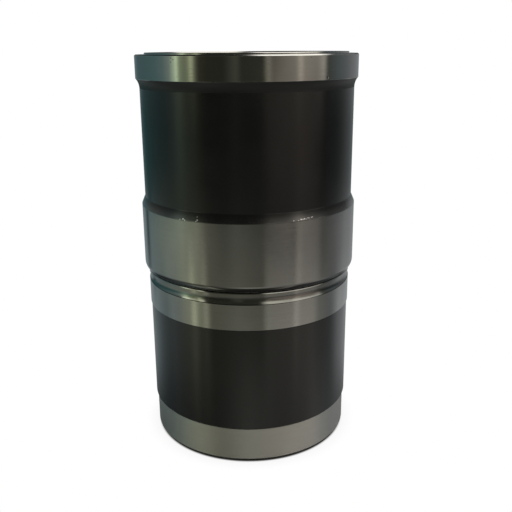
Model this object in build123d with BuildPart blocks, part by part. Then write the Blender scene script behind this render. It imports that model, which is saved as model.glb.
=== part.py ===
"""Wet cylinder liner of a heavy diesel engine, turned all over from one iron casting.

Millimetres. The bore runs along +Z and the liner stands on its foot at Z = 0, so the flange is on top.
Radii grow outwards from the bore and heights add up from the foot, so one size moves all that rests on it.
"""

import os

from build123d import *

# Bore, and the edges that break it
bore_diameter = 114.0
bore_foot_chamfer = 1.0
bore_top_chamfer = 0.8

# Foot: the bare band at the bottom end, which enters the block first
foot_wall = 4.75
foot_chamfer = 2.2
foot_length = 22.9

# Lower body, the coated wall that hangs below the stop
lower_body_step = 0.95
lower_body_length = 62.5

# Guide band, ground to fit the block's bore just under the stop
guide_band_step = 0.5
guide_band_length = 16.0
edge_break = 0.25

# Groove, land and undercut between the guide band and the seat
groove_width = 4.4
groove_depth = 1.0
land_length = 2.4
land_break_width = 0.15
land_break_height = 0.55
undercut_width = 0.75
undercut_depth = 1.7

# Seat band: its lower face is the stop that carries the liner half way down the block
seat_band_step = 2.25
seat_band_length = 35.85
seat_round_width = 1.9
seat_round_height = 3.7

# Ramp from the seat band in to the upper body, whose coated wall the coolant runs round
ramp_width = 2.05
ramp_height = 4.8
upper_body_length = 63.3

# Flange, pressed into the top of the block, with a hollow neck under it
neck_height = 5.4
press_step = 0.05
flange_thickness = 13.4
flange_foot_break = 0.15
flange_top_break = 0.65

# Fire ring, the raised rim that bites into the head gasket
fire_ring_wall = 2.9
fire_ring_height = 1.0
fire_ring_break = 0.25

# Radii, from the bore outwards
bore_radius = bore_diameter / 2
foot_radius = bore_radius + foot_wall
lower_body_radius = foot_radius + lower_body_step
guide_band_radius = lower_body_radius + guide_band_step
groove_radius = guide_band_radius - groove_depth
undercut_radius = guide_band_radius - undercut_depth
seat_band_radius = guide_band_radius + seat_band_step
seat_radius = seat_band_radius - seat_round_width
upper_body_radius = seat_band_radius - ramp_width
flange_radius = seat_band_radius + press_step
fire_ring_radius = bore_radius + fire_ring_wall

# Heights, from the foot upwards
foot_top = foot_length
lower_body_top = foot_top + lower_body_length
guide_band_top = lower_body_top + guide_band_length
groove_top = guide_band_top + groove_width
land_top = groove_top + land_length
seat_height = land_top + undercut_width
seat_band_foot = seat_height + seat_round_height
seat_band_top = seat_band_foot + seat_band_length
upper_body_foot = seat_band_top + ramp_height
neck_foot = upper_body_foot + upper_body_length
flange_foot = neck_foot + neck_height
flange_top = flange_foot + flange_thickness
liner_top = flange_top + fire_ring_height

with BuildPart() as liner:
    with BuildSketch(Plane.XZ):
        with BuildLine():
            # Foot chamfer, foot, lower body and guide band, each step a 45 degree shoulder
            lower_outside = Polyline(
                (foot_radius - foot_chamfer, 0),
                (foot_radius, foot_chamfer),
                (foot_radius, foot_top - lower_body_step),
                (lower_body_radius, foot_top),
                (lower_body_radius, lower_body_top),
                (guide_band_radius, lower_body_top + guide_band_step),
                (guide_band_radius, guide_band_top - edge_break),
                (guide_band_radius - edge_break, guide_band_top),
            )
            # The groove's wall stands upright under the land and sweeps out to the guide band
            groove = TangentArc((groove_radius, groove_top), lower_outside @ 1, tangent=(0, -1))
            # Land as wide as the guide band, then the undercut that clears the grinding wheel at the seat
            seat_corner = Polyline(
                groove @ 0,
                (guide_band_radius, groove_top),
                (guide_band_radius, land_top - land_break_height),
                (guide_band_radius - land_break_width, land_top),
                (undercut_radius, land_top),
                (undercut_radius, seat_height),
                (seat_radius, seat_height),
            )
            seat_round = TangentArc(
                (seat_band_radius, seat_band_foot), seat_corner @ 1, tangent=(0, -1)
            )
            upper_outside = Polyline(
                seat_round @ 0,
                (seat_band_radius, seat_band_top),
                (upper_body_radius, upper_body_foot),
                (upper_body_radius, neck_foot),
            )
            neck = TangentArc(
                upper_outside @ 1, (flange_radius - flange_foot_break, flange_foot), tangent=(0, 1)
            )
            # Flange, fire ring, then down the bore
            rim_and_bore = Polyline(
                neck @ 1,
                (flange_radius, flange_foot + flange_foot_break),
                (flange_radius, flange_top - flange_top_break),
                (flange_radius - flange_top_break, flange_top),
                (fire_ring_radius, flange_top),
                (fire_ring_radius, liner_top - fire_ring_break),
                (fire_ring_radius - fire_ring_break, liner_top),
                (bore_radius + bore_top_chamfer, liner_top),
                (bore_radius, liner_top - bore_top_chamfer),
                (bore_radius, bore_foot_chamfer),
                (bore_radius + bore_foot_chamfer, 0),
                lower_outside @ 0,
            )
        make_face()
    revolve(axis=Axis.Z)

liner.part.label = "cylinder_liner"

os.makedirs("parts", exist_ok=True)
export_step(liner.part, "parts/cylinder_liner.step")
print(f"flange diameter {2 * flange_radius:.2f}, height {liner_top:.2f}, volume {liner.part.volume:.0f}")
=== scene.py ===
import math

import bpy
import numpy as np
from mathutils import Matrix


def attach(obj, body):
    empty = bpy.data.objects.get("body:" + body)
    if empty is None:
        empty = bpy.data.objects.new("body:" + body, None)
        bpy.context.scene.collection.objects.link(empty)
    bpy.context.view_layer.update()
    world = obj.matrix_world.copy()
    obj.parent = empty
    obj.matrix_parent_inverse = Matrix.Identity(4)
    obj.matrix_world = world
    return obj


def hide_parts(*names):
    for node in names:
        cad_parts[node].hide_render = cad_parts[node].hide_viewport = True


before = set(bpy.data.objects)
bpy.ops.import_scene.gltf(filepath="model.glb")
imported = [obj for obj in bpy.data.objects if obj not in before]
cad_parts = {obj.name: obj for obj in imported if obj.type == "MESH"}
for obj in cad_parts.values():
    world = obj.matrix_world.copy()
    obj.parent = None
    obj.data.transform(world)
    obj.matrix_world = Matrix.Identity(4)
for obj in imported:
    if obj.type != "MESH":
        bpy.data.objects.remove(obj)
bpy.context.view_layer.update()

mm = 0.001
bumpUnit = 0.01 * mm

# Section of the liner in millimetres: radii from the bore axis, heights above the foot
liner = {
    "boreRadius": 57.0,
    "boreFootChamfer": 1.0,
    "boreTopChamfer": 0.8,
    "footRadius": 61.75,
    "footChamfer": 2.2,
    "footTop": 22.9,
    "lowerBodyRadius": 62.7,
    "lowerBodyTop": 85.4,
    "guideRadius": 63.2,
    "guideTop": 101.4,
    "guideBreak": 0.25,
    "grooveRadius": 62.2,
    "grooveTop": 105.8,
    "landTop": 108.2,
    "landBreakWidth": 0.15,
    "landBreakHeight": 0.55,
    "undercutRadius": 61.5,
    "seatHeight": 108.95,
    "seatRadius": 63.55,
    "seatRoundTop": 112.65,
    "seatBandRadius": 65.45,
    "seatBandTop": 148.5,
    "upperBodyRadius": 63.4,
    "upperBodyFoot": 153.3,
    "neckFoot": 216.6,
    "flangeRadius": 65.5,
    "flangeFoot": 222.0,
    "flangeFootBreak": 0.15,
    "flangeTop": 235.4,
    "flangeTopBreak": 0.65,
    "fireRingRadius": 59.9,
    "fireRingBreak": 0.25,
    "top": 236.4,
    "coatLap": 0.35,  # how far the ramp's coat laps down over the ridge of the seat band
    "edgeRound": 0.06,
    "undercutRound": 0.15,
    "rampRound": 0.2,
    "ridgeRound": 0.25,
    "arcRound": 9.0,  # wider than an arc's steps, so each of its corners blends into the next
    "roundShare": 0.47,  # most of an edge that the round at one of its ends may take
    "roundPoints": 3,
    "arcPoints": 5,
    "segments": 512,
}

# Bare iron: scales of its stains and pores, and how far stains, tool marks and pores shade it
bareIron = {
    "blotch": 45.0,
    "grain": 1400.0,
    "shades": (0.22, 0.12, 0.1),
    "blotchRough": 0.1,
    "rubbed": (0.42, 0.415, 0.4),
    "rubbedShare": 0.6,
    # Painted shade in the nicks: the colour their cores darken to, and how far
    "nickShade": (0.02, 0.02, 0.02),
    "nickShadeShare": 0.9,
}

groundIron = {
    **bareIron,
    "colour": (0.205, 0.203, 0.197),
    "roughness": 0.1,
    "linePitch": 0.16,
    "lineDepth": 0.35,
}

flangeIron = {
    **bareIron,
    "colour": (0.205, 0.203, 0.197),
    "roughness": 0.055,
    "linePitch": 0.16,
    "lineDepth": 0.3,
    # Nicks in the flange: angle from the front, height, size and depth; their cores also get painted shade
    "nicks": [
        (40.8, 223.5, 0.85, 0.2),
        (31.0, 233.6, 0.4, 0.04),
        (-36.1, 233.8, 0.45, 0.04),
        (-34.8, 233.0, 0.4, 0.03),
        (-36.3, 231.8, 0.4, 0.03),
    ],
}

turnedIron = {
    **bareIron,
    "colour": (0.162, 0.16, 0.155),
    "roughness": 0.11,
    "linePitch": 0.25,
    "lineDepth": 0.35,
}

footIron = {
    **bareIron,
    "colour": (0.37, 0.362, 0.345),
    "roughness": 0.36,
    "linePitch": 0.3,
    "lineDepth": 0.4,
}

darkCoat = {
    "colour": (0.0046, 0.0044, 0.004),
    "roughness": 0.19,
    "specular": 0.26,
    "linePitch": 0.35,
    "lineDepth": 0.25,
    "blotch": 55.0,
    "grain": 1800.0,
    "shades": (0.5, 0.25, 0.5),
    "blotchRough": 0.12,
    "grainRough": 0.08,
    "grainHeight": 1.2,
    "rubbed": (0.6, 0.59, 0.57),
}

lowerCoat = {**darkCoat, "specular": 0.33}

neckCoat = {
    **darkCoat,
    "roughness": 0.42,
    "specular": 0.22,
    # Painted light: the coat's colour lightens towards the flange, standing in for light from below on its
    # underside: from and to these heights, and the colour there
    "paintedLight": (217.6, 222.0, (0.0125, 0.0123, 0.0112)),
}

rampCoat = {
    **darkCoat,
    "roughness": 0.2,
    # The coat is glossier towards the ridge: from and to these heights, as a clear layer over it
    "glosses": (153.0, 148.3),
    "glossIor": 1.6,
    "glossRoughness": 0.2,
    # Chips knocked out of the coat along the ridge: angle from the front, height and size
    "chips": [
        (-34.6, 148.75, 0.3),
        (-32.8, 149.1, 0.6),
        (-31.7, 148.7, 0.35),
        (-25.3, 148.75, 0.35),
        (-25.0, 151.0, 0.35),
        (-24.7, 149.4, 0.6),
        (22.7, 148.9, 0.3),
        (25.2, 148.8, 0.2),
        (26.7, 149.2, 0.45),
        (27.7, 149.1, 0.35),
        (28.7, 149.25, 0.45),
        (29.6, 149.0, 0.25),
        (30.7, 149.4, 0.4),
        (31.5, 149.3, 0.3),
        (32.7, 149.5, 0.4),
        (33.4, 149.6, 0.35),
    ],
}

honedIron = {
    "colour": (0.5, 0.497, 0.487),
    "roughness": 0.32,
    "metal": 0.6,
    "hatchAngle": 27.0,
    "hatchPitch": 0.55,
    "hatchDepth": 0.02,
    "hatchStrength": 0.5,
    "hatchShade": 0.28,
    "hatchRough": -0.1,
    "blotch": 30.0,
    "grain": 1400.0,
    "blotchShade": 0.2,
}

# Rubbed rings: radius, height and width in millimetres, how much of the ring shows it, and how fine
# its patches are
coatEdges = [
    (liner["seatBandRadius"], liner["seatBandTop"] - 0.05, 0.5, 0.12, 420.0),
    (liner["lowerBodyRadius"], liner["footTop"], 0.3, 0.1, 140.0),
]
bandEdges = [
    (liner["flangeRadius"], liner["flangeTop"] - liner["flangeTopBreak"], 0.35, 0.6, 140.0),
    (liner["flangeRadius"], liner["flangeFoot"], 0.4, 0.5, 140.0),
    (liner["fireRingRadius"], liner["top"], 0.5, 0.7, 140.0),
    (liner["guideRadius"], liner["guideTop"], 0.35, 0.6, 140.0),
]


def newNode(tree, kind, inputs=None, **settings):
    # A node, its settings, and its inputs by name or number: a socket is linked, a value is set
    node = tree.nodes.new(kind)
    for name, value in settings.items():
        setattr(node, name, value)
    for name, value in (inputs or {}).items():
        if isinstance(value, bpy.types.NodeSocket):
            tree.links.new(value, node.inputs[name])
        else:
            node.inputs[name].default_value = value
    return node


def calc(tree, operation, *values):
    return newNode(tree, "ShaderNodeMath", dict(enumerate(values)), operation=operation).outputs[0]


def scaleVector(tree, vector, factors):
    return newNode(tree, "ShaderNodeVectorMath", {0: vector, 1: factors}, operation="MULTIPLY").outputs[0]


def noise(tree, vector, scale, detail, roughness=0.5):
    inputs = {"Vector": vector, "Scale": scale, "Detail": detail, "Roughness": roughness}
    return newNode(tree, "ShaderNodeTexNoise", inputs).outputs[0]


def smoothBetween(tree, value, low, high, start=0.0, end=1.0):
    # start below low, end above high, an S curve between them
    inputs = {"Value": value, "From Min": low, "From Max": high, "To Min": start, "To Max": end}
    return newNode(tree, "ShaderNodeMapRange", inputs, interpolation_type="SMOOTHSTEP").outputs[0]


def mixColour(tree, factor, first, second):
    node = newNode(tree, "ShaderNodeMix", data_type="RGBA", blend_type="MIX")
    for socket, value in ((node.inputs[0], factor), (node.inputs[6], first), (node.inputs[7], second)):
        if isinstance(value, bpy.types.NodeSocket):
            tree.links.new(value, socket)
        else:
            socket.default_value = (*value, 1.0) if isinstance(value, tuple) else value
    return node.outputs[2]


def sectionCorners():
    # The section as corners (radius, height), how far each is rounded, and the finish up to it,
    # from the foot up the outside and down the bore
    s = liner
    corners, rounds, finishes = [], [], []

    def corner(radius, height, finish, edge=s["edgeRound"]):
        corners.append((radius, height))
        rounds.append(edge)
        finishes.append(finish)

    def arc(end, startSlope, finish):
        # Circle through the last corner and end, leaving the last corner in the direction startSlope
        start = np.array(corners[-1])
        chord = np.array(end) - start
        heading = np.array(startSlope) / np.hypot(*startSlope)
        side = np.array((-heading[1], heading[0]))
        radius = chord @ chord / (2 * (chord @ side))
        centre = start + side * radius
        first = math.atan2(*(start - centre)[::-1])
        turn = 2 * math.atan2(chord @ side, chord @ heading)
        angles = first + turn * np.arange(1, s["arcPoints"]) / s["arcPoints"]
        for angle in angles:
            point = centre + abs(radius) * np.array((math.cos(angle), math.sin(angle)))
            corner(*point, finish, s["arcRound"])
        corner(*end, finish)

    def uprightArc(end, finish):
        # Circle that ends upright: its first direction is the upright one mirrored in the chord
        rise = np.array(end) - np.array(corners[-1])
        tilt = 2 * math.atan2(rise[1], rise[0]) - math.pi / 2
        arc(end, (math.cos(tilt), math.sin(tilt)), finish)

    # Foot, lower body and guide band, each step a 45 degree shoulder
    corner(s["footRadius"] - s["footChamfer"], 0.0, "ground")
    corner(s["footRadius"], s["footChamfer"], "foot")
    corner(s["footRadius"], s["footTop"] - (s["lowerBodyRadius"] - s["footRadius"]), "foot")
    corner(s["lowerBodyRadius"], s["footTop"], "ground")
    corner(s["lowerBodyRadius"], s["lowerBodyTop"], "lowerCoat")
    corner(s["guideRadius"], s["lowerBodyTop"] + s["guideRadius"] - s["lowerBodyRadius"], "ground")
    corner(s["guideRadius"], s["guideTop"] - s["guideBreak"], "ground")
    corner(s["guideRadius"] - s["guideBreak"], s["guideTop"], "coat")
    # Groove, land, undercut and seat
    uprightArc((s["grooveRadius"], s["grooveTop"]), "turned")
    corner(s["guideRadius"], s["grooveTop"], "turned")
    corner(s["guideRadius"], s["landTop"] - s["landBreakHeight"], "turned")
    corner(s["guideRadius"] - s["landBreakWidth"], s["landTop"], "turned")
    corner(s["undercutRadius"], s["landTop"], "coat", s["undercutRound"])
    corner(s["undercutRadius"], s["seatHeight"], "coat", s["undercutRound"])
    corner(s["seatRadius"], s["seatHeight"], "coat")
    uprightArc((s["seatBandRadius"], s["seatRoundTop"]), "turned")
    # Seat band, ramp, upper body and neck
    corner(s["seatBandRadius"], s["seatBandTop"] - s["coatLap"], "ground")
    corner(s["seatBandRadius"], s["seatBandTop"], "ramp", s["ridgeRound"])
    corner(s["upperBodyRadius"], s["upperBodyFoot"], "ramp", s["rampRound"])
    corner(s["upperBodyRadius"], s["neckFoot"], "coat")
    arc((s["flangeRadius"] - s["flangeFootBreak"], s["flangeFoot"]), (0.0, 1.0), "neck")
    # Flange and fire ring, then down the bore
    corner(s["flangeRadius"], s["flangeFoot"] + s["flangeFootBreak"], "flange")
    corner(s["flangeRadius"], s["flangeTop"] - s["flangeTopBreak"], "flange")
    corner(s["flangeRadius"] - s["flangeTopBreak"], s["flangeTop"], "ground")
    corner(s["fireRingRadius"], s["flangeTop"], "ground")
    corner(s["fireRingRadius"], s["top"] - s["fireRingBreak"], "ground")
    corner(s["fireRingRadius"] - s["fireRingBreak"], s["top"], "ground")
    corner(s["boreRadius"] + s["boreTopChamfer"], s["top"], "ground")
    corner(s["boreRadius"], s["top"] - s["boreTopChamfer"], "ground")
    corner(s["boreRadius"], s["boreFootChamfer"], "honed")
    corner(s["boreRadius"] + s["boreFootChamfer"], 0.0, "ground")
    return np.array(corners), np.array(rounds), finishes


def roundedSection(corners, rounds):
    # Each corner p becomes the curve p + (1-s)^2 a + s^2 b, where a and b reach back and on along
    # its two edges
    back = np.roll(corners, 1, axis=0) - corners
    ahead = np.roll(corners, -1, axis=0) - corners
    backLength = np.hypot(*back.T)
    aheadLength = np.hypot(*ahead.T)
    reach = np.minimum(rounds, liner["roundShare"] * np.minimum(backLength, aheadLength))
    a = back / backLength[:, None] * reach[:, None]
    b = ahead / aheadLength[:, None] * reach[:, None]
    s = np.linspace(0.0, 1.0, liner["roundPoints"])[None, :, None]
    points = corners[:, None] + (1 - s) ** 2 * a[:, None] + s**2 * b[:, None]
    along = s * b[:, None] - (1 - s) * a[:, None]
    along /= np.linalg.norm(along, axis=2, keepdims=True)
    outward = np.stack((along[..., 1], -along[..., 0]), axis=2)
    return points.reshape(-1, 2), outward.reshape(-1, 2)


def turnedPiece(name, section, outward, ringFinish, finishes, segments):
    # Point (i, j): section point i turned about Z by angle j, x = r cos, y = r sin
    angle = 2 * math.pi * np.arange(segments) / segments
    radius = np.repeat(section[:, :1], segments, axis=1)
    height = np.repeat(section[:, 1:], segments, axis=1)
    points = np.stack((radius * np.cos(angle), radius * np.sin(angle), height), axis=2) * mm
    outwardUp = np.repeat(outward[:, 1:], segments, axis=1)
    normals = np.stack((outward[:, :1] * np.cos(angle), outward[:, :1] * np.sin(angle), outwardUp), axis=2)
    rings = len(section)
    i, j = np.meshgrid(np.arange(rings), np.arange(segments), indexing="ij")
    up, on = (i + 1) % rings, (j + 1) % segments
    faces = np.stack((i * segments + j, i * segments + on, up * segments + on, up * segments + j), axis=2)
    mesh = bpy.data.meshes.new(name)
    mesh.vertices.add(points.shape[0] * segments)
    mesh.vertices.foreach_set("co", points.astype(np.float32).ravel())
    mesh.loops.add(faces.size)
    mesh.loops.foreach_set("vertex_index", faces.astype(np.int32).ravel())
    mesh.polygons.add(faces.size // 4)
    mesh.polygons.foreach_set("loop_start", np.arange(0, faces.size, 4, dtype=np.int32))
    order = {finish: number for number, finish in enumerate(finishes)}
    slots = np.repeat([order[finish] for finish in ringFinish], segments)
    mesh.polygons.foreach_set("material_index", slots.astype(np.int32))
    mesh.update(calc_edges=True)
    mesh.validate()
    mesh.shade_smooth()
    mesh.normals_split_custom_set_from_vertices(normals.reshape(-1, 3))
    for material in finishes.values():
        mesh.materials.append(material)
    piece = bpy.data.objects.new(name, mesh)
    bpy.context.scene.collection.objects.link(piece)
    return piece


def nodeGroup(name, inputs, outputs):
    group = bpy.data.node_groups.new(name, "ShaderNodeTree")
    for socketName, kind, value in inputs:
        socket = group.interface.new_socket(socketName, in_out="INPUT", socket_type=kind)
        if value is not None:
            socket.default_value = value
    for socketName, kind in outputs:
        group.interface.new_socket(socketName, in_out="OUTPUT", socket_type=kind)
    return group, group.nodes.new("NodeGroupInput").outputs, group.nodes.new("NodeGroupOutput").inputs


turningMarks = {
    "waver": (30.0, 30.0, 900.0),  # scale of the slow waver along x, y and z
    "waverTurns": 6.0,
    "scratches": (55.0, 55.0, 7000.0),
    "ringHeight": 0.25,
    "scratchHeight": 1.5,
    "waverTone": 0.6,
}


def makeTurningMarks():
    # Rings cut by the tool: sin(2 pi z / pitch) with a slow waver, and finer scratches drawn out
    # round the axis
    s = turningMarks
    group, given, result = nodeGroup(
        "turningMarks",
        [("Coordinates", "NodeSocketVector", None), ("Pitch", "NodeSocketFloat", 0.0002)],
        [("Height", "NodeSocketFloat"), ("Tone", "NodeSocketFloat")],
    )
    z = newNode(group, "ShaderNodeSeparateXYZ", {0: given["Coordinates"]}).outputs["Z"]
    waver = noise(group, scaleVector(group, given["Coordinates"], s["waver"]), 1.0, detail=2.0)
    phase = calc(group, "MULTIPLY", calc(group, "DIVIDE", z, given["Pitch"]), 2 * math.pi)
    rings = calc(group, "SINE", calc(group, "ADD", phase, calc(group, "MULTIPLY", waver, s["waverTurns"])))
    drawnOut = scaleVector(group, given["Coordinates"], s["scratches"])
    fine = noise(group, drawnOut, 1.0, detail=3.0, roughness=0.6)
    scratches = calc(group, "SUBTRACT", fine, 0.5)
    ringHeight = calc(group, "MULTIPLY", rings, s["ringHeight"])
    scratchHeight = calc(group, "MULTIPLY", scratches, s["scratchHeight"])
    group.links.new(calc(group, "ADD", ringHeight, scratchHeight), result["Height"])
    waverTone = calc(group, "MULTIPLY", calc(group, "SUBTRACT", waver, 0.5), s["waverTone"])
    group.links.new(calc(group, "ADD", waverTone, scratches), result["Tone"])
    return group


def makeMottle():
    # Handling stains and pores: soft blotches and small grains, each noise less its mean
    group, given, result = nodeGroup(
        "ironMottle",
        [
            ("Coordinates", "NodeSocketVector", None),
            ("Blotch", "NodeSocketFloat", 60.0),
            ("Grain", "NodeSocketFloat", 1500.0),
        ],
        [("Blotches", "NodeSocketFloat"), ("Grains", "NodeSocketFloat")],
    )
    broad = noise(group, given["Coordinates"], given["Blotch"], detail=4.0, roughness=0.55)
    small = noise(group, given["Coordinates"], given["Grain"], detail=2.0)
    group.links.new(calc(group, "SUBTRACT", broad, 0.5), result["Blotches"])
    group.links.new(calc(group, "SUBTRACT", small, 0.5), result["Grains"])
    return group


def hypotenuse(tree, a, b):
    return calc(tree, "SQRT", calc(tree, "ADD", calc(tree, "MULTIPLY", a, a), calc(tree, "MULTIPLY", b, b)))


wornEdge = {
    "core": 0.2,  # share of the width that is worn right through
    "patchLevel": 0.75,  # noise level at which an amount of 0 would start to show patches
    "patchSoft": 0.2,
}


def makeWornEdge():
    # Rubbed ring: 1 on the circle (radius, height), falling off over the width and broken up by noise
    s = wornEdge
    group, given, result = nodeGroup(
        "wornEdge",
        [
            ("Coordinates", "NodeSocketVector", None),
            ("Radius", "NodeSocketFloat", 0.06),
            ("Height", "NodeSocketFloat", 0.1),
            ("Width", "NodeSocketFloat", 0.0005),
            ("Amount", "NodeSocketFloat", 0.5),
            ("Patch", "NodeSocketFloat", 140.0),
        ],
        [("Mask", "NodeSocketFloat")],
    )
    parts = newNode(group, "ShaderNodeSeparateXYZ", {0: given["Coordinates"]}).outputs
    across = calc(group, "SUBTRACT", hypotenuse(group, parts["X"], parts["Y"]), given["Radius"])
    up = calc(group, "SUBTRACT", parts["Z"], given["Height"])
    widths = calc(group, "DIVIDE", hypotenuse(group, across, up), given["Width"])
    near = smoothBetween(group, widths, s["core"], 1.0, 1.0, 0.0)
    patches = noise(group, given["Coordinates"], given["Patch"], detail=4.0, roughness=0.65)
    level = calc(group, "MULTIPLY", calc(group, "SUBTRACT", 1.0, given["Amount"]), s["patchLevel"])
    patchy = smoothBetween(group, patches, level, calc(group, "ADD", level, s["patchSoft"]))
    group.links.new(calc(group, "MULTIPLY", near, patchy), result["Mask"])
    return group


crossHatch = {
    "stretch": 55.0,  # scale along a scratch
    "apart": 7.3,  # keeps the noise of the two families apart
    "edge": (0.36, 0.52),  # noise level at which a scratch begins and ends
    "mean": 0.6,
}


def makeCrossHatch():
    # Honing: two families of helical scratches, each noise stretched along a direction that climbs,
    # or falls, at the angle as it goes round
    s = crossHatch
    group, given, result = nodeGroup(
        "crossHatch",
        [
            ("Coordinates", "NodeSocketVector", None),
            ("Angle", "NodeSocketFloat", 0.5),
            ("Pitch", "NodeSocketFloat", 0.0005),
        ],
        [("Height", "NodeSocketFloat"), ("Tone", "NodeSocketFloat")],
    )
    parts = newNode(group, "ShaderNodeSeparateXYZ", {0: given["Coordinates"]}).outputs
    turn = calc(group, "MULTIPLY", calc(group, "ARCTAN2", parts["Y"], parts["X"]), liner["boreRadius"] * mm)
    sine, cosine = calc(group, "SINE", given["Angle"]), calc(group, "COSINE", given["Angle"])
    heights = []
    for side in (1.0, -1.0):
        sideTurn = calc(group, "MULTIPLY", turn, side)
        acrossTurn = calc(group, "MULTIPLY", sideTurn, sine)
        across = calc(group, "ADD", acrossTurn, calc(group, "MULTIPLY", parts["Z"], cosine))
        alongTurn = calc(group, "MULTIPLY", sideTurn, cosine)
        along = calc(group, "SUBTRACT", alongTurn, calc(group, "MULTIPLY", parts["Z"], sine))
        lines = calc(group, "DIVIDE", across, given["Pitch"])
        stretched = calc(group, "MULTIPLY", along, s["stretch"])
        place = newNode(group, "ShaderNodeCombineXYZ", {"X": lines, "Y": stretched, "Z": side * s["apart"]})
        scratch = noise(group, place.outputs[0], 1.0, detail=4.0, roughness=0.62)
        heights.append(smoothBetween(group, scratch, *s["edge"]))
    both = calc(group, "MINIMUM", *heights)
    group.links.new(both, result["Height"])
    group.links.new(calc(group, "SUBTRACT", both, s["mean"]), result["Tone"])
    return group


groups = {make.__name__: make() for make in (makeTurningMarks, makeMottle, makeWornEdge, makeCrossHatch)}


def placeGroup(tree, name, inputs):
    node = newNode(tree, "ShaderNodeGroup", node_tree=groups[name])
    for socket, value in inputs.items():
        if isinstance(value, bpy.types.NodeSocket):
            tree.links.new(value, node.inputs[socket])
        else:
            node.inputs[socket].default_value = value
    return node.outputs


def newMaterial(name):
    material = bpy.data.materials.new(name)
    material.use_nodes = True
    tree = material.node_tree
    tree.nodes.clear()
    shader = newNode(tree, "ShaderNodeBsdfPrincipled")
    newNode(tree, "ShaderNodeOutputMaterial", {"Surface": shader.outputs[0]})
    place = newNode(tree, "ShaderNodeTexCoord").outputs["Object"]
    return material, tree, shader, place


def shade(tree, colour, *tones):
    # colour times 1 + each tone times its strength
    factor = 1.0
    for tone, strength in tones:
        shift = calc(tree, "MULTIPLY", tone, strength)
        factor = calc(tree, "MULTIPLY", factor, calc(tree, "ADD", 1.0, shift))
    scaled = newNode(tree, "ShaderNodeVectorMath", {0: colour, "Scale": factor}, operation="SCALE")
    return scaled.outputs[0]


def mottleOn(tree, place, s):
    return placeGroup(tree, "makeMottle", {"Coordinates": place, "Blotch": s["blotch"], "Grain": s["grain"]})


def ironSurface(tree, place, s):
    # Tool marks, mottle, and the colour that both shade
    marks = placeGroup(tree, "makeTurningMarks", {"Coordinates": place, "Pitch": s["linePitch"] * mm})
    mottle = mottleOn(tree, place, s)
    tones = zip((mottle["Blotches"], marks["Tone"], mottle["Grains"]), s["shades"])
    return marks, mottle, shade(tree, s["colour"], *tones)


def wornRing(tree, place, radius, height, width, amount, patch):
    inputs = {"Coordinates": place, "Radius": radius * mm, "Height": height * mm, "Width": width * mm}
    return placeGroup(tree, "makeWornEdge", {**inputs, "Amount": amount, "Patch": patch})["Mask"]


spotCore = 0.4  # share of a spot's size over which it shows in full


def spotOn(tree, place, radius, angle, height, size):
    # 1 in the core round a point on the outside, fading to 0 at the size
    turn = math.radians(angle)
    centre = (radius * math.sin(turn) * mm, -radius * math.cos(turn) * mm, height * mm)
    away = newNode(tree, "ShaderNodeVectorMath", {0: place, 1: centre}, operation="DISTANCE").outputs["Value"]
    return smoothBetween(tree, away, spotCore * size * mm, size * mm, 1.0, 0.0)


def finishShader(tree, shader, colour, rough, height, strength, distance=bumpUnit):
    bump = newNode(tree, "ShaderNodeBump", {"Height": height, "Strength": strength, "Distance": distance})
    tree.links.new(colour, shader.inputs["Base Color"])
    tree.links.new(rough, shader.inputs["Roughness"])
    tree.links.new(bump.outputs[0], shader.inputs["Normal"])


def bareMetal(name, s, edges):
    material, tree, shader, place = newMaterial(name)
    marks, mottle, colour = ironSurface(tree, place, s)
    rough = calc(tree, "ADD", s["roughness"], calc(tree, "MULTIPLY", mottle["Blotches"], s["blotchRough"]))
    for edge in edges:
        worn = calc(tree, "MULTIPLY", wornRing(tree, place, *edge), s["rubbedShare"])
        colour = mixColour(tree, worn, colour, s["rubbed"])
    relief = marks["Height"]
    for angle, height, size, depth in s.get("nicks", []):
        nick = spotOn(tree, place, liner["flangeRadius"], angle, height, size)
        # Painted shade: the nick's core darkens towards this colour, standing in for the shade in the dent
        colour = mixColour(tree, calc(tree, "MULTIPLY", nick, s["nickShadeShare"]), colour, s["nickShade"])
        dent = calc(tree, "MULTIPLY", nick, depth * mm / bumpUnit / s["lineDepth"])
        relief = calc(tree, "SUBTRACT", relief, dent)
    shader.inputs["Metallic"].default_value = 1.0
    finishShader(tree, shader, colour, rough, relief, s["lineDepth"])
    return material


def rampRadius(height):
    share = (height - liner["seatBandTop"]) / (liner["upperBodyFoot"] - liner["seatBandTop"])
    return liner["seatBandRadius"] - (liner["seatBandRadius"] - liner["upperBodyRadius"]) * max(share, 0.0)


def heightShare(tree, place, start, end):
    # 0 at the height start, 1 at the height end
    height = newNode(tree, "ShaderNodeSeparateXYZ", {0: place}).outputs["Z"]
    return smoothBetween(tree, height, start * mm, end * mm)


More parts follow.
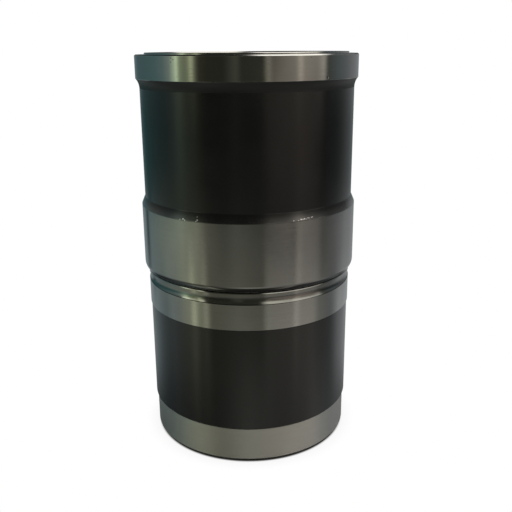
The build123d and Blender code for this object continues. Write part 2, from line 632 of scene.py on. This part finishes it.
def coatedIron(name, s):
    material, tree, shader, place = newMaterial(name)
    marks, mottle, colour = ironSurface(tree, place, s)
    blotchRough = calc(tree, "MULTIPLY", mottle["Blotches"], s["blotchRough"])
    grainRough = calc(tree, "MULTIPLY", mottle["Grains"], s["grainRough"])
    rough = calc(tree, "ADD", s["roughness"], calc(tree, "ADD", blotchRough, grainRough))
    shader.inputs["Specular IOR Level"].default_value = s["specular"]
    # painted light: the coat is lighter towards the flange, where light from below falls on the underside
    if "paintedLight" in s:
        start, end, paintedLightColour = s["paintedLight"]
        colour = mixColour(tree, heightShare(tree, place, start, end), colour, paintedLightColour)
    if "glosses" in s:
        tree.links.new(heightShare(tree, place, *s["glosses"]), shader.inputs["Coat Weight"])
        shader.inputs["Coat IOR"].default_value = s["glossIor"]
        shader.inputs["Coat Roughness"].default_value = s["glossRoughness"]
    bareSpots = [wornRing(tree, place, *edge) for edge in coatEdges]
    for angle, height, size in s.get("chips", []):
        bareSpots.append(spotOn(tree, place, rampRadius(height), angle, height, size))
    bare = 0.0
    for spot in bareSpots:
        colour = mixColour(tree, spot, colour, s["rubbed"])
        bare = calc(tree, "MAXIMUM", bare, spot)
    tree.links.new(bare, shader.inputs["Metallic"])
    relief = calc(tree, "ADD", marks["Height"], calc(tree, "MULTIPLY", mottle["Grains"], s["grainHeight"]))
    finishShader(tree, shader, colour, rough, relief, s["lineDepth"])
    return material


def honedBore(name, s):
    material, tree, shader, place = newMaterial(name)
    angle = math.radians(s["hatchAngle"])
    inputs = {"Coordinates": place, "Angle": angle, "Pitch": s["hatchPitch"] * mm}
    hatch = placeGroup(tree, "makeCrossHatch", inputs)
    mottle = mottleOn(tree, place, s)
    tones = (hatch["Tone"], s["hatchShade"]), (mottle["Blotches"], s["blotchShade"])
    colour = shade(tree, s["colour"], *tones)
    rough = calc(tree, "ADD", s["roughness"], calc(tree, "MULTIPLY", hatch["Tone"], s["hatchRough"]))
    shader.inputs["Metallic"].default_value = s["metal"]
    finishShader(tree, shader, colour, rough, hatch["Height"], s["hatchStrength"], s["hatchDepth"] * mm)
    return material


finishes = {
    "ground": bareMetal("groundIron", groundIron, bandEdges),
    "flange": bareMetal("flangeIron", flangeIron, bandEdges),
    "turned": bareMetal("turnedIron", turnedIron, []),
    "foot": bareMetal("footIron", footIron, []),
    "coat": coatedIron("darkCoat", darkCoat),
    "lowerCoat": coatedIron("lowerCoat", lowerCoat),
    "neck": coatedIron("neckCoat", neckCoat),
    "ramp": coatedIron("rampCoat", rampCoat),
    "honed": honedBore("honedBore", honedIron),
}
print("finishes made")

corners, rounds, cornerFinish = sectionCorners()
section, outward = roundedSection(corners, rounds)
# One finish for each strip from the foot on: a corner's round starts in the finish of the wall up to it,
# and the rest of the round is like the wall after it
ringFinish = []
for before, after in zip(cornerFinish, cornerFinish[1:] + cornerFinish[:1]):
    ringFinish += [before] + [after] * (liner["roundPoints"] - 1)
linerShape = turnedPiece("linerShape", section, outward, ringFinish, finishes, liner["segments"])
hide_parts("cylinder_liner")
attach(linerShape, "root")
print("liner turned:", len(section), "rings of", liner["segments"])

# Studio round the liner. Azimuths are in degrees, 0 towards the camera and 90 to its right.
# The room's tint by azimuth: red and blue as shares of green
roomTint = [
    (-180, 0.87, 1.04),
    (-141, 0.6, 1.08),
    (-104, 0.56, 1.02),
    (-91, 0.68, 0.97),
    (-81, 0.8, 0.87),
    (-73, 0.83, 0.65),
    (-56, 0.9, 0.62),
    (-48, 1.0, 0.7),
    (-22, 0.94, 0.75),
    (17, 1.0, 0.77),
    (25, 1.08, 0.83),
    (80, 1.1, 0.87),
    (88, 0.94, 0.87),
    (104, 0.83, 1.03),
    (131, 0.97, 1.03),
    (180, 0.87, 1.04),
]

# Rings of cards from straight below upwards. Each has the elevations in degrees over which it takes over
# from the ring below it, how deep the tint's red and blue are in it, and its light as azimuth and level
cardRings = [
    {  # what lies nearly straight below, which only the undersides show
        "rise": (-72.0, -55.0),
        "tintDepth": (0.5, 0.6),
        "cards": [
            (-180, 0.05), (-116, 0.12), (-92, 0.25), (-76, 0.5), (-72, 0.95), (-68, 0.45), (-55, 0.45),
            (-50, 1.1), (-45, 0.25), (-38, 0.08), (10, 0.06), (30, 0.09), (42, 0.19), (50, 0.33),
            (54, 0.95), (58, 0.28), (70, 0.09), (112, 0.12), (180, 0.05),
        ],
    },
    {  # the table close in, where its own light falls on it
        "rise": (-44.0, -33.0),
        "tintDepth": (0.35, 0.45),
        "cards": [
            (-180, 0.05), (-130, 0.06), (-104, 0.09), (-93, 0.14), (-40, 0.19), (-27, 0.34), (-2, 0.89),
            (37, 0.5), (66, 0.57), (82, 0.77), (104, 0.42), (140, 0.18), (180, 0.05),
        ],
    },
    {  # the table a step off, under the guide band and the lower body
        "rise": (-30.0, -23.5),
        "tintDepth": (0.4, 0.75),
        "cards": [
            (-180, 0.26), (-131, 0.48), (-108, 0.42), (-97, 0.59), (-87, 0.54), (-69, 0.77), (-64, 1.7),
            (-60, 0.85), (-54, 0.5), (-49, 1.1), (-44, 0.3), (-13, 0.37), (17, 0.31), (19.5, 0.77),
            (23.5, 0.67), (51.5, 0.74), (54.5, 1.3), (58.5, 0.82), (78, 0.77), (86, 0.47), (107, 0.35),
            (125, 0.75), (180, 0.29),
        ],
    },
    {  # the cards above seen in the table top, fainter and softer
        "rise": (-22.0, -15.0),
        "tintDepth": (0.55, 0.6),
        "cards": [
            (-180, 0.23), (-147, 0.36), (-138, 0.1), (-130, 0.41), (-73.5, 0.87), (-61, 0.64),
            (-55.5, 0.77), (-46, 0.36), (-26, 0.2), (-12, 0.28), (14, 0.18), (43, 0.28), (51.5, 0.22),
            (54, 0.61), (58, 0.48), (78, 0.39), (85.5, 0.22), (126.5, 0.53), (180, 0.25),
        ],
    },
    {  # the foot of those cards, which the upper body shows
        "rise": (-14.0, -10.0),
        "tintDepth": (2.0, 0.8),
        "cards": [
            (-180, 0.26), (-141.5, 0.15), (-93, 0.32), (-84, 0.42), (-75.5, 0.95), (-67.5, 0.62),
            (-60, 0.48), (-47, 0.085), (-39, 0.055), (-22, 0.075), (-12, 0.19), (-4, 0.1), (9, 0.1),
            (17.5, 0.15), (23, 0.4), (31, 0.53), (50, 0.52), (57, 0.62), (72, 0.42), (88, 0.09),
            (97, 0.09), (109, 0.12), (131.5, 0.27), (180, 0.26),
        ],
    },
    {  # the cards round the horizon, which the flange shows
        "rise": (-6.0, -2.0),
        "tintDepth": (1.0, 1.0),
        "cards": [
            (-180, 0.28), (-141.5, 0.2), (-104.5, 0.4), (-91, 0.5), (-81.5, 0.75), (-75, 1.7),
            (-72.5, 2.5), (-69.5, 0.9), (-63, 0.57), (-58.5, 0.8), (-55.5, 1.8), (-52, 0.52), (-48, 0.12),
            (-39, 0.085), (-22, 0.075), (-9, 0.21), (-5.5, 0.09), (17.5, 0.11), (21, 0.79), (25, 0.32),
            (50, 0.7), (54.5, 1.4), (58.5, 0.82), (74, 0.69), (82.5, 1.1), (87.5, 0.2), (104.5, 0.31),
            (131.5, 0.41), (180, 0.28),
        ],
    },
    {  # strip lights just over the horizon, which only the edges and the groove catch
        "rise": (2.5, 5.0),
        "tintDepth": (0.5, 0.7),
        "cards": [
            (-180, 0.1), (-80, 0.36), (-76, 3.0), (-70, 3.6), (-66.5, 1.9), (-60, 1.6), (-58, 0.95),
            (-56, 2.5), (-51.5, 2.5), (-48, 0.1), (13, 0.1), (20.5, 2.3), (46, 1.8), (52, 2.5),
            (85.5, 1.6), (91, 0.25), (180, 0.1),
        ],
    },
    {  # soft walls that the ramp over the seat band shows
        "rise": (13.0, 18.0),
        "tintDepth": (0.9, 0.75),
        "cards": [
            (-180, 0.1), (-130, 0.14), (-105, 0.2), (-90, 0.3), (-79, 1.0), (-70, 0.34), (-61, 0.33),
            (-54.5, 0.16), (-45, 0.03), (-30, 0.02), (-20, 0.06), (-6, 0.02), (8, 0.04), (17, 0.09),
            (25, 0.53), (41, 0.56), (50, 0.8), (58.5, 2.5), (65, 0.93), (90, 0.12), (112, 0.16),
            (140, 0.3), (180, 0.1),
        ],
    },
]

studio = {
    "pit": (0.05, 0.05, 0.045),  # straight below
    "ceiling": (0.07, 0.07, 0.065),
    "ceilingRise": (38.0, 50.0),
    "softbox": (4.2, 4.1, 3.8),
    "softboxAim": (120.0, 58.0),  # azimuth and elevation
    "softboxSpread": (25.0, 33.0),  # degrees from its aim over which it fades
    "plainLight": (0.9, 0.9, 0.9),
}


def cardRamp(tree, turn, cards, tintDepth):
    # Light round the compass, straight from one card to the next: its level times the room's tint,
    # whose red and blue are raised to the power of their depth
    tintAt, reds, blues = zip(*roomTint)
    ramp = newNode(tree, "ShaderNodeValToRGB", {"Fac": turn})
    stops = ramp.color_ramp.elements
    while len(stops) > 1:
        stops.remove(stops[-1])
    for number, (azimuth, level) in enumerate(cards):
        position = (azimuth + 180) / 360
        stop = stops[0] if number == 0 else stops.new(position)
        stop.position = position
        red = np.interp(azimuth, tintAt, reds) ** tintDepth[0]
        blue = np.interp(azimuth, tintAt, blues) ** tintDepth[1]
        stop.color = (level * red, level, level * blue, 1.0)
    return ramp.outputs["Color"]


def softboxGlow(tree, direction):
    # 1 inside the softbox, fading over its spread: the angle between a direction and its aim
    azimuth, elevation = map(math.radians, studio["softboxAim"])
    level = math.cos(elevation)
    aim = (math.sin(azimuth) * level, -math.cos(azimuth) * level, math.sin(elevation))
    towards = newNode(tree, "ShaderNodeVectorMath", {0: direction, 1: aim}, operation="DOT_PRODUCT")
    away = calc(tree, "DEGREES", calc(tree, "ARCCOSINE", towards.outputs["Value"]))
    return smoothBetween(tree, away, *studio["softboxSpread"], 1.0, 0.0)


def makeStudio():
    # turn is a direction's azimuth, 0 to 1 for -180 to 180 degrees
    world = bpy.data.worlds.new("studio")
    bpy.context.scene.world = world
    world.use_nodes = True
    world.cycles.sampling_method = "NONE"
    tree = world.node_tree
    tree.nodes.clear()
    direction = newNode(tree, "ShaderNodeTexCoord").outputs["Generated"]
    parts = newNode(tree, "ShaderNodeSeparateXYZ", {0: direction}).outputs
    azimuth = calc(tree, "ARCTAN2", parts["X"], calc(tree, "MULTIPLY", parts["Y"], -1.0))
    turn = calc(tree, "ADD", calc(tree, "DIVIDE", azimuth, 2 * math.pi), 0.5)
    elevation = calc(tree, "DEGREES", calc(tree, "ARCSINE", parts["Z"]))
    pattern = studio["pit"]
    for ring in cardRings:
        cards = cardRamp(tree, turn, ring["cards"], ring["tintDepth"])
        pattern = mixColour(tree, smoothBetween(tree, elevation, *ring["rise"]), pattern, cards)
    ceiling = mixColour(tree, softboxGlow(tree, direction), studio["ceiling"], studio["softbox"])
    pattern = mixColour(tree, smoothBetween(tree, elevation, *studio["ceilingRise"]), pattern, ceiling)
    path = newNode(tree, "ShaderNodeLightPath").outputs
    backdrop = mixColour(tree, path["Is Camera Ray"], pattern, (1.0, 1.0, 1.0))
    mirrored = calc(tree, "MAXIMUM", path["Is Glossy Ray"], path["Is Transmission Ray"])
    seen = calc(tree, "MAXIMUM", path["Is Camera Ray"], mirrored)
    colour = mixColour(tree, seen, studio["plainLight"], backdrop)
    background = newNode(tree, "ShaderNodeBackground", {"Color": colour, "Strength": 1.0})
    newNode(tree, "ShaderNodeOutputWorld", {"Surface": background.outputs[0]})


# Floor under the liner, in metres
floorSheet = {
    "radius": 0.32,
    "hub": 0.004,
    "height": -0.0001,
    "rings": 24,
    "segments": 96,
    "colour": (0.86, 0.86, 0.85),
    "underFoot": (0.0602, 0.0622),  # inside this radius the sheet's colour is painted dark, a painted shadow under the liner
    "paintedShadowColour": (0.08, 0.08, 0.08),
    "contactShadow": (0.0605, 0.072),
    "shadowLift": 0.87,  # how far white shows through the shadow close in
    "fade": (0.095, 0.17),  # the sheet turns clear between these radii
}


def makeFloor():
    # Round sheet: rings of points (r cos a, r sin a), closed by one face at the hub
    s = floorSheet
    rings, segments = s["rings"], s["segments"]
    angle = 2 * math.pi * np.arange(segments) / segments
    radius = np.linspace(s["hub"], s["radius"], rings)[:, None]
    height = np.full((rings, segments), s["height"])
    points = np.stack((radius * np.cos(angle), radius * np.sin(angle), height), axis=2)
    i, j = np.meshgrid(np.arange(rings - 1), np.arange(segments), indexing="ij")
    on = (j + 1) % segments
    inner, outer = i * segments, (i + 1) * segments
    faces = np.stack((inner + j, outer + j, outer + on, inner + on), axis=2)
    mesh = bpy.data.meshes.new("floor")
    hub = [list(range(segments))]
    mesh.from_pydata(points.reshape(-1, 3).tolist(), [], faces.reshape(-1, 4).tolist() + hub)
    mesh.update()
    floor = bpy.data.objects.new("floor", mesh)
    bpy.context.scene.collection.objects.link(floor)
    mesh.materials.append(paleFloor(s))
    return floor


def paleFloor(s):
    # Paper that keeps the liner's shadow, with a painted shadow darkening its colour under the foot, lifted
    # towards white for the camera away from it. Past the foot, mirrored rays go through it to the studio's
    # table
    material = bpy.data.materials.new("paleFloor")
    material.use_nodes = True
    tree = material.node_tree
    tree.nodes.clear()
    place = newNode(tree, "ShaderNodeTexCoord").outputs["Object"]
    distance = newNode(tree, "ShaderNodeVectorMath", {0: place}, operation="LENGTH").outputs["Value"]
    pastFoot = smoothBetween(tree, distance, *s["underFoot"])
    # painted shadow: the paper's colour darkens under the foot
    colour = mixColour(tree, pastFoot, s["paintedShadowColour"], s["colour"])
    paper = newNode(tree, "ShaderNodeBsdfDiffuse", {"Color": colour})
    white = newNode(tree, "ShaderNodeEmission", {"Color": (1.0, 1.0, 1.0, 1.0), "Strength": 1.0})
    clear = newNode(tree, "ShaderNodeBsdfTransparent")
    path = newNode(tree, "ShaderNodeLightPath").outputs
    shadow = smoothBetween(tree, distance, *s["contactShadow"], s["shadowLift"], 1.0)
    lift = calc(tree, "MULTIPLY", calc(tree, "MULTIPLY", shadow, pastFoot), path["Is Camera Ray"])
    lifted = newNode(tree, "ShaderNodeMixShader", {0: lift, 1: paper.outputs[0], 2: white.outputs[0]})
    mirrored = calc(tree, "MAXIMUM", path["Is Glossy Ray"], path["Is Transmission Ray"])
    passing = calc(tree, "MULTIPLY", mirrored, pastFoot)
    through = calc(tree, "MAXIMUM", smoothBetween(tree, distance, *s["fade"]), passing)
    faded = newNode(tree, "ShaderNodeMixShader", {0: through, 1: lifted.outputs[0], 2: clear.outputs[0]})
    newNode(tree, "ShaderNodeOutputMaterial", {"Surface": faded.outputs[0]})
    return material


floor = makeFloor()
makeStudio()
print("studio made")

view = {
    "place": (0.00455, -0.41918, 0.23886),
    "tilt": 16.99,  # degrees down
    "roll": -0.45,
    "lens": 48.04,
    "sensorWidth": 36.0,
    "nearest": 0.01,
}
camera = bpy.data.objects.new("camera", bpy.data.cameras.new("camera"))
camera.data.lens = view["lens"]
camera.data.sensor_width = view["sensorWidth"]
camera.data.clip_start = view["nearest"]
camera.matrix_world = (
    Matrix.Translation(view["place"])
    @ Matrix.Rotation(math.radians(90.0 - view["tilt"]), 4, "X")
    @ Matrix.Rotation(math.radians(view["roll"]), 4, "Z")
)
bpy.context.scene.collection.objects.link(camera)
bpy.context.scene.camera = camera
bpy.context.scene.view_settings.view_transform = "Standard"

bpy.context.view_layer.update()
